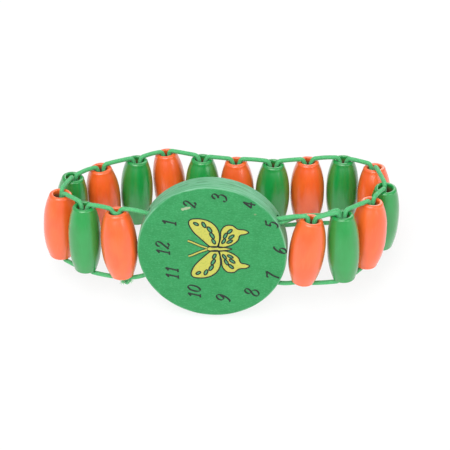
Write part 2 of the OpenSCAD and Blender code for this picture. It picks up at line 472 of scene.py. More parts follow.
# %% Turn all the beads
BEAD_STEPS = 56
BEAD_UNEVENNESS = 0.09
GOLDEN_TURN = 2.4
BEAD_SHIFT = 7.3


def make_bead(side, n):
    centre, bore = beads[side][n - 1]
    orange = n % 2 == 1
    seed = n if side == "right" else n + COUNTS["right"]
    paint = orange_paint if orange else green_paint
    profile = bead_profile(radii[side, n])
    name = f"spindle_{side}_{n}"
    piece = turned_piece(name, profile, True, BEAD_STEPS, BEAD_UNEVENNESS, seed, paint)
    turn = Vector((cos(seed * GOLDEN_TURN), sin(seed * GOLDEN_TURN), 0.0))
    settle(piece, place_along(centre, bore, turn), seed * BEAD_SHIFT)
    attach(piece, f"bead_{side}_{n}")
    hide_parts(f"bead_{side}_{n}")
    return piece


bead_pieces = [make_bead(side, n) for side, n in every_bead]
print(len(bead_pieces), "beads of", len(bead_pieces[0].data.polygons), "faces each")

# %% [markdown]
# ## The dial's paint
#
# The disc is sawn from a sheet and painted once. Its face shows only a fine speckled grain. Its rim is
# sawn, so the paint sank in: it is paler and streaked, with thin dark lines where the saw left a step.
# One small chip beside the print shows bare wood.

# %% Dial paint
DIAL_D = 33.0
DIAL_T = 5.0
DIAL_EDGE = 0.4
CHIP = {"at": (-5.6, 11.05), "turn": 16.0, "size": (1.05, 0.33), "ragged": 1.6}
SPECK = {"at": (9.5, 10.2), "turn": 0.0, "size": (0.26, 0.18), "ragged": 0.5}
SAW_LINES = ((-0.1, 0.13, 0.85), (-1.25, 0.09, 0.55))
SAW_SWAY = 0.9
RIM_ROUND = 3.0
RIM_ACROSS = 3.6
RIM_RADII = (DIAL_D / 2 - 0.3, DIAL_D / 2 - 0.14)
# Radii of a pale band on the rounded edges: partly wear, partly a painted highlight.
EDGE_WEAR_AND_HIGHLIGHT_IN = (DIAL_D / 2 - 0.48, DIAL_D / 2 - 0.3)
EDGE_WEAR_AND_HIGHLIGHT_OUT = (DIAL_D / 2, DIAL_D / 2 - 0.16)


def spot_mask(tree, own, uneven, at, turn, size, ragged):
    """White inside a ragged oval on the face."""
    placed = made(tree, "ShaderNodeMapping", {
        "Vector": own, "Location": (*at, 0.0), "Rotation": (0.0, 0.0, radians(turn)),
        "Scale": (*size, 1e6),
    }, vector_type="TEXTURE")
    edge = total(tree, (length_of(tree, placed), 1.0), (uneven, ragged))
    return ramp(tree, edge, 1.15 + ragged / 2, 0.95 + ragged / 2)


def face_colour(tree, clouds, grain, mottle, pores):
    """The paint with thin films over it, each strongest where its noise is past both limits."""
    colour = mixed(tree, ramp(tree, clouds, 0.35, 0.7), (0.019, 0.286, 0.08), (0.015, 0.26, 0.069))
    for pattern, low, high, most, film in (
        (grain, 0.5, 0.75, 0.4, (0.042, 0.345, 0.115)),
        (mottle, 0.5, 0.66, 0.55, (0.06, 0.375, 0.142)),
        (mottle, 0.5, 0.35, 0.5, (0.009, 0.211, 0.048)),
        (pores, 0.52, 0.66, 0.65, (0.013, 0.232, 0.055)),
    ):
        colour = mixed(tree, ramp(tree, pattern, low, high, 0.0, most), colour, film)
    return colour


def saw_lines(tree, colour, height, wide):
    """Dark lines round the rim, which sway a little and break off here and there."""
    sway = maths(tree, "SUBTRACT", noise(tree, wide, 0.6), 0.5)
    depth = maths(tree, "ADD", height, product(tree, sway, SAW_SWAY))
    broken = noise(tree, wide, 1.4)
    for line_at, width, most in SAW_LINES:
        away = maths(tree, "ABSOLUTE", maths(tree, "SUBTRACT", depth, line_at))
        line = ramp(tree, away, 1.6 * width, 0.4 * width)
        line = product(tree, line, ramp(tree, broken, 0.42, 0.56, 0.0, most))
        colour = mixed(tree, line, colour, (0.03, 0.17, 0.07))
    return colour


def dial_paint():
    material, tree, surface, own, _ = shader("dial_paint")
    parts = parts_of(tree, own)
    radius = from_axis(tree, own)
    angle = maths(tree, "ARCTAN2", parts["Y"], parts["X"])
    grain = noise(tree, own, (0.5, 5.0, 5.0), 3.0)
    clouds = noise(tree, own, 0.35, 3.0)
    pores = noise(tree, own, (1.9, 4.4, 4.4), 3.0, 0.7)
    mottle = noise(tree, own, (2.4, 3.8, 3.8), 4.0, 0.7)
    ragged = noise(tree, own, 1.7, 3.0)
    face = face_colour(tree, clouds, grain, mottle, pores)
    wide = scaled(tree, circle_point(tree, angle), RIM_ROUND)
    layers = made(tree, "ShaderNodeCombineXYZ", {"Z": product(tree, parts["Z"], RIM_ACROSS)})
    streaks = noise(tree, vectors(tree, "ADD", wide, layers), 1.0, 4.0, 0.65)
    rim = mixed(tree, ramp(tree, streaks, 0.32, 0.66), (0.058, 0.335, 0.13), (0.17, 0.465, 0.27))
    rim = saw_lines(tree, rim, parts["Z"], wide)
    on_rim = ramp(tree, radius, *RIM_RADII)
    colour = mixed(tree, on_rim, face, rim)
    # A pale band on the rounded edges front and back: partly wear, partly a painted highlight.
    worn = product(tree, ramp(tree, radius, *EDGE_WEAR_AND_HIGHLIGHT_IN), ramp(tree, radius, *EDGE_WEAR_AND_HIGHLIGHT_OUT))
    worn = product(tree, worn, ramp(tree, streaks, 0.4, 0.62, 0.0, 0.35))
    colour = mixed(tree, worn, colour, (0.3, 0.62, 0.4))
    on_face = ramp(tree, parts["Z"], DIAL_T / 2 - 0.1, DIAL_T / 2 - 0.02)
    flat = vectors(tree, "MULTIPLY", own, (1.0, 1.0, 0.0))
    chip = product(tree, on_face, spot_mask(tree, flat, ragged, **CHIP))
    colour = mixed(tree, product(tree, chip, 0.5), colour, (0.66, 0.6, 0.44))
    speck = product(tree, on_face, spot_mask(tree, flat, ragged, **SPECK))
    colour = mixed(tree, product(tree, speck, 0.3), colour, (0.45, 0.3, 0.22))
    rim_relief = product(tree, streaks, on_rim)
    relief = ((grain, 0.6), (pores, 0.5), (rim_relief, 1.2), (mottle, 0.6), (chip, -1.0))
    roughness = ramp(tree, clouds, 0.3, 0.7, 0.46, 0.56)
    painted(tree, surface, colour, roughness, total(tree, *relief), 0.06 * MM, 0.85)
    return material


dial_green = dial_paint()

# %% [markdown]
# ## The disc and its two channels
#
# The same lathe tree turns the disc, with a rounded edge front and back. Two channels for the elastic
# run through it from side to side, cut with a Boolean as a drill would.

# %% Turn the disc and drill it
CHANNEL_R = 1.2
CHANNEL_OUT = 7.85
DIAL_TURN = 1.4
DIAL_STEPS = 180
DRILL_STEPS = 40
DRILL_LENGTH = DIAL_D + 1.0
EDGE_STEPS = 5
SHARP_ANGLE = 40
FACE_RINGS = (0.0, 5.0, 10.0, 14.0)
dial_place = Matrix(((1, 0, 0), (0, 0, -1), (0, 1, 0))).to_4x4()


def dial_profile():
    corner = (DIAL_D / 2 - DIAL_EDGE, DIAL_T / 2 - DIAL_EDGE)
    front = arc(corner, DIAL_EDGE, 0, 90, EDGE_STEPS)
    inwards = [(out, DIAL_T / 2) for out in reversed(FACE_RINGS)]
    half = front + inwards
    return [(out, -up) for out, up in reversed(half)] + half


def drill(piece, radius, depth, at, turn):
    bpy.ops.mesh.primitive_cylinder_add(vertices=DRILL_STEPS, radius=radius, depth=depth)
    cutter = bpy.context.object
    cutter.data.transform(Matrix.Rotation(pi / 2, 4, "Y"))
    cutter.data.transform(Matrix.Rotation(radians(turn), 4, "Z") @ Matrix.Translation((0, at, 0)))
    cut = piece.modifiers.new("channel", "BOOLEAN")
    cut.object = cutter
    cut.solver = "EXACT"
    baked(piece)
    bpy.data.objects.remove(cutter)


disc = turned_piece("dial_disc", dial_profile(), False, DIAL_STEPS, 0.0, 1, dial_green)
for side in (1, -1):
    drill(disc, CHANNEL_R, DRILL_LENGTH, CHANNEL_OUT * side, -DIAL_TURN)
disc.data.set_sharp_from_angle(angle=radians(SHARP_ANGLE))
disc.data.materials.clear()
disc.data.materials.append(dial_green)
settle(disc, dial_place)
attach(disc, "dial")
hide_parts("dial")
print("the disc has", len(disc.data.polygons), "faces")

# %% [markdown]
# ## The elastic's cover
#
# The cord is rubber under a knitted cover, which shows as a fine slanted rib and a slightly rough
# sheen. The pattern has to follow the cord, so the cord's tree stores on every point how far along and
# where round the cord it is. The second is a sine and a cosine, so that the pattern has no seam.

# %% Elastic material
RIB_SLANT = 3.0
RIBS_PER_MM = 17.0


def elastic_cover(name, deep, pale, fuzzy):
    material, tree, surface, _, moved = shader(name)
    thread = put(tree, "ShaderNodeAttribute", attribute_name="thread").outputs["Vector"]
    parts = parts_of(tree, thread)
    angle = maths(tree, "ARCTAN2", parts["Y"], parts["X"])
    ribs = []
    for slant in (RIB_SLANT, -RIB_SLANT):
        phase = total(tree, (angle, slant), (parts["Z"], RIBS_PER_MM))
        ribs.append(maths(tree, "ABSOLUTE", maths(tree, "SINE", phase)))
    knit = product(tree, *ribs)
    fuzz = noise(tree, moved, 2.2, 3.0, 0.6)
    colour = mixed(tree, ramp(tree, knit, 0.1, 0.7), deep, pale)
    colour = mixed(tree, ramp(tree, fuzz, 0.45, 0.75, 0.0, 0.5), colour, fuzzy)
    painted(tree, surface, colour, 0.6, total(tree, (knit, 1.0), (fuzz, 0.4)), 0.04 * MM, 0.5)
    surface.inputs["Sheen Weight"].default_value = 0.25
    surface.inputs["Sheen Roughness"].default_value = 0.4
    return material


elastic_green = elastic_cover(
    "elastic_cover", (0.04, 0.36, 0.105), (0.1, 0.54, 0.205), (0.165, 0.575, 0.26),
)
# Much paler than the cord: partly the frayed fibres' own tone, partly painted light against the shade under the
# bead.
frayed_green_with_painted_light = elastic_cover(
    "frayed_cover_with_painted_light", (0.3, 0.72, 0.38), (0.42, 0.82, 0.5), (0.55, 0.88, 0.62),
)

# %% The cord tree
def stored(tree, geometry, name, value, kind):
    inputs = {"Geometry": geometry, "Name": name, "Value": value}
    node = "GeometryNodeStoreNamedAttribute"
    return made(tree, node, inputs, data_type=kind, domain="POINT")


def read_back(tree, name, kind):
    return made(tree, "GeometryNodeInputNamedAttribute", {"Name": name}, data_type=kind)


def cord_tree():
    sizes = {"Thickness": "Float", "Sides": "Int", "Step": "Float", "Material": "Material"}
    tree, given = new_tree("cord", sizes)
    place = put(tree, "GeometryNodeSplineParameter").outputs
    route = stored(tree, smooth_route(tree, given), "along", place["Length"], "FLOAT")
    circle = {"Resolution": given["Sides"], "Radius": product(tree, given["Thickness"], 0.5)}
    ring = made(tree, "GeometryNodeCurvePrimitiveCircle", circle)
    around = circle_point(tree, product(tree, place["Factor"], 2 * pi))
    section = stored(tree, ring, "around", around, "FLOAT_VECTOR")
    sweep = {"Curve": route, "Profile Curve": section, "Fill Caps": True}
    tube = made(tree, "GeometryNodeCurveToMesh", sweep)
    along = made(tree, "ShaderNodeCombineXYZ", {"Z": read_back(tree, "along", "FLOAT")})
    both = vectors(tree, "ADD", read_back(tree, "around", "FLOAT_VECTOR"), along)
    thread = stored(tree, tube, "thread", both, "FLOAT_VECTOR")
    finish_tree(tree, made(tree, "GeometryNodeSetShadeSmooth", {"Geometry": thread}), given)
    return tree


cord = cord_tree()
CORD_D = 1.0
CORD_SIDES = 14
CORD_STEP = 0.2
NAME_SHIFT = 1.7


def cord_piece(name, routes, thickness=CORD_D, material=elastic_green):
    """One mesh from one or more routes, each a list of points in the ring's frame."""
    piece = host_of_lines(name, routes)
    shift = len(name) * NAME_SHIFT + len(piece.data.vertices)
    grown(piece, cord, Thickness=thickness, Sides=CORD_SIDES, Step=CORD_STEP, Material=material)
    settle(piece, shift=shift)
    return piece


# %% [markdown]
# ## How a strand leaves a bead
#
# Two strands meet in each mouth. Each comes up out of the bore, slants out to the worn edge, bends
# over it and lies flat on the bead's end before it sets off for the next bead. The route lies in the
# plane of the bore and the strand's heading, so it fits a leaning bead too. The band's hinges stand
# upright, so in a leaning bead's mouth a strand keeps further from the wall, to swing clear of it. On
# top of the first left bead the cord only dips into the mouth and out again.

# %% The bend over a mouth
STRAND_SIDE = 1.06
LEAN_ROOM = 2.6
BEND_R = 0.84
BEND_RISE = 0.6
BEND_TURN = 60
BEND_STEPS = 4
DIVE_SIDE = 0.74
DIVE_DEPTHS = (3.0, 1.8, 0.75)
DIP = ((0.02, 0.72), (0.4, 0.62), (0.82, 0.25))
STRAIGHT_STEPS = 6


def over_mouth(bead, way, up, dips=False):
    """From down in the bore to where the strand lies flat, heading along way."""
    centre, bore = bead
    out = bore * up
    side = (way - out * way.dot(out)).normalized()
    end = centre + out * BEAD_HALF
    strand_side = STRAND_SIDE - LEAN_ROOM * Vector((bore.x, bore.y)).length
    below = DIP if dips else [(DIVE_SIDE, depth) for depth in DIVE_DEPTHS]
    route = [end + side * across - out * depth for across, depth in below]
    for k in range(BEND_STEPS + 1):
        a = radians(90 - BEND_TURN + BEND_TURN * k / BEND_STEPS)
        rise = BEND_RISE - BEND_R * (1 - sin(a))
        route.append(end + side * (strand_side + BEND_R * (1 - cos(a))) + out * rise)
    return route


def joined(start, end, bow=Vector((0, 0, 0))):
    """Fills the stretch between two routes with even points, drawn aside by bow at the middle."""
    shares = [k / STRAIGHT_STEPS for k in range(1, STRAIGHT_STEPS)]
    middle = [start[-1].lerp(end[0], share) + bow * sin(pi * share) for share in shares]
    return start + middle + end


def heading(start, end):
    way = end - start
    way.z = 0.0
    return way.normalized()


def strand_between(start_bead, end_bead, up, bow=0.0, dips=False):
    way = heading(start_bead[0], end_bead[0])
    landing = over_mouth(end_bead, -way, up)[::-1]
    return joined(over_mouth(start_bead, way, up, dips), landing, Vector((0, 0, up * bow)))


# %% [markdown]
# ## Strands between the beads
#
# Between two beads the real elastic belongs to both: its start turns with the bead before, and its end
# moves off with the bead after, so it stretches along its middle. Here each pair of strands is drawn in
# the ring's frame and follows neither bead. Most strands arch a little. The two that the watch stands
# on and the closing pair at the back are straight.

# %% Strands from bead to bead
REST_NODES = {("right", 7): "rest_strand_right", ("left", 8): "rest_strand_left"}
DIPPING = ("left", 1)
BLEND_CLEAR = 2.2
BOWS = (0.12, 0.05, 0.1, 0.02, 0.08)


def blend_along(piece, first_body, second_body, start, end):
    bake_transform(piece)


def make_strands(side, n):
    before, after = beads[side][n - 2], beads[side][n - 1]
    bow = BOWS[n % len(BOWS)]
    bows = {1: bow, -1: 0.0 if (side, n) in REST_NODES else bow}
    routes = []
    for up in (1, -1):
        dips = n == 2 and (side, up) == DIPPING
        routes.append(strand_between(before, after, up, bows[up], dips))
    piece = cord_piece(f"elastic_{side}_{n}", routes)
    way = heading(before[0], after[0]) * BLEND_CLEAR
    blend_along(piece, f"link_{side}_{n}", f"thread_{side}_{n}", before[0] + way, after[0] - way)
    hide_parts(f"strands_{side}_{n}")
    if (side, n) in REST_NODES:
        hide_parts(REST_NODES[side, n])
    return piece


strand_pieces = [make_strands(side, n) for side, n in every_bead if n > 1]
last_right, last_left = beads["right"][-1], beads["left"][-1]
closing_routes = [strand_between(last_right, last_left, up) for up in (1, -1)]
closing = cord_piece("elastic_closing", closing_routes)
way = heading(last_right[0], last_left[0]) * BLEND_CLEAR
blend_along(closing, "link_closing", "end_closing", last_right[0] + way, last_left[0] - way)
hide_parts("closing_strands", "closing_ends")
print(len(strand_pieces) + 1, "pairs of strands between the beads")

# %% [markdown]
# ## Strands at the dial
#
# The strands beside the dial come out of its channels and run to the first bead on each side. One more
# piece fills both channels, so that the cord is whole wherever one can look in.

# %% Strands at the dial and in its channels
CHANNEL_LIFT = {(1, 1): 0.4, (-1, 1): -0.15, (1, -1): -0.4, (-1, -1): -0.2}
DIAL_BOW = 0.2
DIAL_BLEND_CLEAR = 3.2
START_INSIDE = 0.5
IN_CHANNEL = (0.005, 0.3, 0.7, 0.995)
CHANNEL_HALF = ((DIAL_D / 2) ** 2 - CHANNEL_OUT ** 2) ** 0.5
channel_turn = Matrix.Rotation(radians(DIAL_TURN), 3, "Y")


def channel_end(right, up):
    """Where the cord leaves a channel. It lies a little above or below the channel's middle."""
    lift = Vector((0, 0, CHANNEL_LIFT[right, up]))
    return channel_turn @ Vector((right * CHANNEL_HALF, 0, up * CHANNEL_OUT)) + lift


def make_dial_strands(side, right):
    bead = beads[side][0]
    to_dial = Vector((-right, 0, 0))
    routes = []
    for up in (1, -1):
        landing = over_mouth(bead, to_dial, up, (side, up) == DIPPING)[::-1]
        out_of_dial = channel_end(right, up)
        way = (landing[0] - out_of_dial).normalized()
        bow = Vector((0, 0, DIAL_BOW * up))
        routes.append(joined([out_of_dial - way * START_INSIDE, out_of_dial], landing, bow))
    piece = cord_piece(f"elastic_{side}_1", routes)
    at_dial = Vector((right * CHANNEL_HALF, 0, 0))
    at_bead = bead[0] + to_dial * DIAL_BLEND_CLEAR
    blend_along(piece, "dial", f"thread_{side}_1", at_dial, at_bead)
    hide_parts(f"strands_{side}_1")
    return piece


dial_strands = [make_dial_strands(side, right) for side, right in (("right", 1), ("left", -1))]
channel_routes = [
    [channel_end(-1, up).lerp(channel_end(1, up), share) for share in IN_CHANNEL] for up in (1, -1)
]
channels = cord_piece("elastic_in_channels", channel_routes)
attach(channels, "dial")
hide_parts("elastic_in_dial")
print("the dial hangs on", 2 * len(dial_strands), "strands")

# %% [markdown]
# ## Inside the beads
#
# In each bore the two strands cross, one from top to bottom and one from bottom to top. Only their ends
# show, down in the mouths. On the real band each end follows its own neighbour when the band bends, so
# each strand is a piece of its own. The two in the last left bead ride on that bead; the others stay
# where they are drawn.

# %% The crossing strands
CROSS_SIDE = 0.62
CROSS_DEPTHS = (2.7, 3.6, 4.8)


def crossing_route(bead, way_in, way_out, up):
    centre, bore = bead
    out = bore * up
    across = (way_in + way_out).cross(out).normalized() * CROSS_SIDE
    low_side = (-way_in - out * (-way_in).dot(out)).normalized() * DIVE_SIDE
    high_side = (way_out - out * way_out.dot(out)).normalized() * DIVE_SIDE
    low = [centre - out * (BEAD_HALF - depth) + low_side for depth in CROSS_DEPTHS]
    high = [centre + out * (BEAD_HALF - depth) + high_side for depth in reversed(CROSS_DEPTHS)]
    return low + [centre + across] + high


def make_crossing(side, n, up, beyond, next_body):
    bead = beads[side][n - 1]
    right = 1 if side == "right" else -1
    way_in = heading(beads[side][n - 2][0], bead[0]) if n > 1 else Vector((right, 0, 0))
    way_out = heading(bead[0], beyond[0])
    name = f"elastic_inside_{side}_{n}_" + ("up" if up == 1 else "down")
    piece = cord_piece(name, [crossing_route(bead, way_in, way_out, up)])
    body = f"thread_{side}_{n}"
    if next_body:
        near_mouth = bead[0] + bead[1] * up * (BEAD_HALF - CROSS_DEPTHS[-1])
        blend_along(piece, body, next_body, bead[0], near_mouth)
    else:
        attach(piece, body)
    if up == 1:
        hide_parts(f"crossing_{side}_{n}")
    return piece


crossings = []
for side, n in every_bead:
    if n < COUNTS[side]:
        beyond, next_body = beads[side][n], f"link_{side}_{n + 1}"
    elif side == "right":
        beyond, next_body = last_left, "link_closing"
    else:
        beyond, next_body = last_right, None
    crossings += [make_crossing(side, n, up, beyond, next_body) for up in (1, -1)]
print(len(crossings), "strands inside the beads")

# %% [markdown]
# ## The doubled stretch and the knot
#
# At the dial's upper right the elastic shows a second strand. It leaves the same channel, dips behind
# the first bead and comes up again to the second one. Its route is listed, and it is cut in two,
# because it crosses a hinge and a slide. The cord's two ends are tied under the first left bead.
# An overhand knot is a piece of a trefoil curve, so a short formula draws it. Beyond the knot the cut
# ends are frayed into fine fibres of the cover, painted much paler than the cord: partly their own pale
# tone, partly painted light that lifts the shade under the bead.

# %% The doubled stretch
DOUBLED_START = [
    (11, 0, 6.9), (14.2, 0, 6.8), (16, 0.6, 7), (18, 2.1, 7.1), (20, 3.7, 6.7), (21, 4.3, 6.4),
    (22.1, 4.5, 6.4), (23.2, 3.9, 6.8), (24.2, 3.2, 7.4),
]
DOUBLED_END = [
    (24.2, 3.2, 7.4), (25.2, 2.6, 8.15), (26, 2.65, 8.6), (26.8, 2.95, 8.8), (27.4, 3.1, 8.55),
    (27.72, 3.15, 8.0), (27.85, 3.1, 7.2), (28, 3, 6.4),
]


def make_doubled(name, route, bodies, blended):
    """One half of the stretch, as one cord piece."""
    route = [Vector(point) for point in route]
    blend_along(cord_piece(name, [route]), *bodies, *(route[k] for k in blended))


make_doubled("elastic_doubled_start", DOUBLED_START, ("thread_right_1", "link_right_2"), (4, -1))
make_doubled("elastic_doubled_end", DOUBLED_END, ("link_right_2", "thread_right_2"), (0, 3))
print("the doubled stretch has", len(DOUBLED_START) + len(DOUBLED_END), "points")

# %% The knot
KNOT_SIZE = 0.27
KNOT_CORD_D = 0.78
KNOT_PLACE = (0.8, 0.0, -0.3)
KNOT_BELOW = 0.8
KNOT_DEPTH = 1.1
KNOT_STEPS = 40
KNOT_OPEN = 0.35
TAIL_STEPS = (((0.2, -0.2, 0.05), (0.4, -0.5, 0.1)), ((-0.1, -0.25, 0.05), (-0.2, -0.6, 0.1)))


def knot_route(middle):
    span = 2 * pi - 2 * KNOT_OPEN
    route = []
    for k in range(KNOT_STEPS + 1):
        t = KNOT_OPEN + span * k / KNOT_STEPS
        out = Vector((sin(t) + 2 * sin(2 * t), KNOT_DEPTH * sin(3 * t), cos(t) - 2 * cos(2 * t)))
        route.append(middle + out * KNOT_SIZE)
    return route


first_left = beads["left"][0]
mouth_below = first_left[0] - first_left[1] * (BEAD_HALF + KNOT_BELOW)
tied = knot_route(mouth_below + Vector(KNOT_PLACE))
tails = [
    [end + Vector(step) for step in steps] for end, steps in zip((tied[0], tied[-1]), TAIL_STEPS)
]
knot = cord_piece("elastic_knot", [tails[0][::-1] + tied + tails[1]], KNOT_CORD_D)
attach(knot, "thread_left_1")
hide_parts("knot")
across = [point.x for point in tied]
print("the knot is", round(max(across) - min(across) + KNOT_CORD_D, 2), "mm wide")

# %% Its frayed ends
FIBRES = 16
FIBRE_D = 0.12
FIBRE_LENGTH = 0.6
FIBRE_SPREAD = 0.5
FIBRE_RING = 0.45
FIBRE_OVERLAP = 0.15
FIBRE_MIDDLE = (0.5, 0.3)


def fibre_route(tail, k):
    """One fibre of the cover, which leaves the cut end and bends aside."""
    way = (tail[-1] - tail[-2]).normalized()
    across = way.orthogonal().normalized()
    aside = across * cos(k * GOLDEN_TURN) + way.cross(across) * sin(k * GOLDEN_TURN)
    aside *= ((k + 0.5) / FIBRES) ** 0.5
    start = tail[-1] + aside * KNOT_CORD_D * FIBRE_RING - way * FIBRE_OVERLAP
    far = way * FIBRE_LENGTH * (0.75 + 0.25 * cos(3 * k))
    spread = aside * FIBRE_SPREAD
    halfway = start + far * FIBRE_MIDDLE[0] + spread * FIBRE_MIDDLE[1]
    return [start, halfway, start + far + spread]


fibres = [fibre_route(tail, k) for tail in tails for k in range(FIBRES)]
# The fibres are painted pale, partly as painted light against the shade under the bead.
frayed = cord_piece("elastic_frayed_ends", fibres, FIBRE_D, frayed_green_with_painted_light)
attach(frayed, "thread_left_1")
lowest = min(vertex.co.z for vertex in frayed.data.vertices) / MM
print(len(fibres), "fibres, the lowest", round(lowest, 2), "mm above the table")

# %% [markdown]
# ## Numerals written with a broad pen
#
# The numerals are slanted and go from thick to thin, like writing with a broad nib. Instead of a font,
# each digit is a few strokes, and a tree writes them: it widens a stroke by how far it runs across the
# nib. The ink is a film only hundredths of a millimetre proud of the paint.

# %% The pen tree
FILM_THICKNESS = 0.06


def pen_tree():
    numbers = dict.fromkeys(("Thin", "Thick", "Nib Angle", "Step"), "Float")
    tree, given = new_tree("pen", {**numbers, "Material": "Material"})
    route = smooth_route(tree, given)
    way = made(tree, "GeometryNodeInputTangent")
    across = vectors(tree, "CROSS_PRODUCT", way, circle_point(tree, given["Nib Angle"]))
    extra = maths(tree, "SUBTRACT", given["Thick"], given["Thin"])
    width = maths(tree, "ADD", product(tree, length_of(tree, across), extra), given["Thin"])
    section = {"Width": 1.0, "Height": FILM_THICKNESS}
    film = made(tree, "GeometryNodeCurvePrimitiveQuadrilateral", section)
    sweep = {"Curve": route, "Profile Curve": film, "Scale": width, "Fill Caps": True}
    finish_tree(tree, made(tree, "GeometryNodeCurveToMesh", sweep), given)
    return tree


pen = pen_tree()

# %% Ink
def ink_film(name, colour, worn_colour, worn_share):
    material, tree, surface, _, moved = shader(name)
    blots = noise(tree, moved, 2.4, 3.0, 0.6)
    colour = mixed(tree, ramp(tree, blots, 0.5, 0.72, 0.0, worn_share), colour, worn_colour)
    roughness = ramp(tree, blots, 0.3, 0.7, 0.45, 0.6)
    painted(tree, surface, colour, roughness, blots, 0.02 * MM, 0.4)
    return material


black_ink = ink_film("black_ink", (0.008, 0.016, 0.012), (0.02, 0.08, 0.035), 0.35)
yellow_ink = ink_film("yellow_ink", (0.52, 0.51, 0.08), (0.3, 0.4, 0.06), 0.75)
green_ink = ink_film("green_ink", (0.055, 0.3, 0.13), (0.04, 0.22, 0.09), 0.6)
print("inks:", black_ink.name, yellow_ink.name, green_ink.name)

# %% Digits as pen strokes
DIGITS = {
    "0": [[(0.3, 1), (0.1, 0.84), (0.03, 0.5), (0.09, 0.14), (0.26, 0), (0.46, 0.16), (0.53, 0.5),
           (0.47, 0.86), (0.3, 1)]],
    "1": [[(0.1, 0.78), (0.2, 0.86), (0.3, 1)], [(0.3, 1), (0.3, 0.5), (0.3, 0)],
          [(0.14, 0), (0.3, 0.02), (0.46, 0)]],
    "2": [[(0.1, 0.72), (0.08, 0.88), (0.26, 1), (0.46, 0.9), (0.44, 0.64), (0.24, 0.34),
           (0.02, 0.06)],
          [(0.02, 0.06), (0.16, 0.1), (0.38, 0), (0.54, 0.12)]],
    "3": [[(0.08, 0.78), (0.12, 0.93), (0.28, 1), (0.44, 0.88), (0.4, 0.66), (0.2, 0.56)],
          [(0.2, 0.56), (0.42, 0.52), (0.52, 0.3), (0.42, 0.06), (0.2, 0), (0.04, 0.1),
           (0.06, 0.24)]],
    "4": [[(0.42, 1), (0.24, 0.7), (0.02, 0.34)], [(0.02, 0.34), (0.3, 0.35), (0.58, 0.34)],
          [(0.42, 1), (0.41, 0.5), (0.4, 0)]],
    "5": [[(0.14, 1), (0.12, 0.78), (0.1, 0.58)], [(0.14, 1), (0.3, 0.96), (0.52, 1.02)],
          [(0.1, 0.58), (0.28, 0.64), (0.48, 0.52), (0.5, 0.26), (0.36, 0.04), (0.16, 0),
           (0.03, 0.12)]],
    "6": [[(0.5, 0.96), (0.36, 0.98), (0.16, 0.76), (0.05, 0.4), (0.1, 0.1), (0.27, 0),
           (0.46, 0.12), (0.49, 0.36), (0.36, 0.52), (0.2, 0.48), (0.08, 0.3)]],
    "7": [[(0.06, 0.84), (0.06, 0.98)], [(0.06, 0.98), (0.3, 0.95), (0.56, 0.99)],
          [(0.56, 0.99), (0.32, 0.52), (0.2, 0)]],
    "8": [[(0.28, 0.55), (0.1, 0.7), (0.12, 0.92), (0.29, 1), (0.46, 0.9), (0.44, 0.7),
           (0.28, 0.55), (0.07, 0.38), (0.05, 0.12), (0.26, 0), (0.48, 0.12), (0.48, 0.36),
           (0.28, 0.55)]],
}
DIGIT_WIDTH = 0.54
DIGITS["9"] = [[(DIGIT_WIDTH - x, 1 - y) for x, y in stroke] for stroke in DIGITS["6"]]
DIGIT_ADVANCE = 0.62
SLANT = 0.26
NUMERAL_H = 2.75
NUMERAL_SIZES = (1.05, 0.95, 1.12, 0.95, 0.95, 1.0, 1.03, 1.12, 1.08, 1.0, 1.0, 1.04)
NUMERAL_RING = 12.9
PRINT_MIDDLE = (2.1, 1.15)
PRINT_TURN = 1.6
INK_HEIGHT = 0.035
NIB_ANGLE = 40
NIB_STEP = 0.05
NUMERAL_NIB = (0.12, 0.43)


def numeral_strokes(number):
    """The strokes of a number, one unit high and centred on its middle."""
    strokes = []
    for index, digit in enumerate(number):
        for stroke in DIGITS[digit]:
            start = index * DIGIT_ADVANCE
            strokes.append([(start + x + SLANT * (y - 0.5), y - 0.5) for x, y in stroke])
    across = [x for stroke in strokes for x, y in stroke]
    middle = (min(across) + max(across)) / 2
    return [[(x - middle, y) for x, y in stroke] for stroke in strokes]


def onto_face(piece, height):
    settle(piece, dial_place @ Matrix.Translation((0, 0, DIAL_T / 2 + height)))
    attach(piece, "dial")
    return piece


def flat_points(line):
    return [(x, y, 0.0) for x, y in line]


def pen_piece(name, strokes, thin, thick, height, material):
    """Strokes written on the face, as one film at its own height."""
    piece = host_of_lines(name, [flat_points(stroke) for stroke in strokes])
    nib = {"Thin": thin, "Thick": thick, "Nib Angle": radians(NIB_ANGLE), "Step": NIB_STEP}
    return onto_face(grown(piece, pen, **nib, Material=material), height)


# %% [markdown]
# The print is turned a quarter left on the disc, so that twelve o'clock points along the band. It also
# sits a little off the middle.

# %% Print the numerals
def on_print(x, y):
    """A point of the print, which reads upright in its own frame, on the disc's face."""
    turned = Matrix.Rotation(radians(90 + PRINT_TURN), 2) @ Vector((x, y))
    return tuple(Vector(PRINT_MIDDLE) + turned)


numeral_lines = []
for hour in range(1, 13):
    clock = radians(90 - 30 * hour)
    right, up = NUMERAL_RING * cos(clock), NUMERAL_RING * sin(clock)
    high = NUMERAL_H * NUMERAL_SIZES[hour - 1]
    for stroke in numeral_strokes(str(hour)):
        numeral_lines.append([on_print(right + x * high, up + y * high) for x, y in stroke])
pen_piece("dial_numerals", numeral_lines, *NUMERAL_NIB, INK_HEIGHT, black_ink)
print("the numerals take", len(numeral_lines), "strokes")

# %% [markdown]
# ## A plain butterfly
#
# The middle of the dial carries a butterfly. One half is a short list of points, the other half is its
# mirror image. Yellow comes first, then the green spots, and the dark outline last, as a printer would
# lay them.

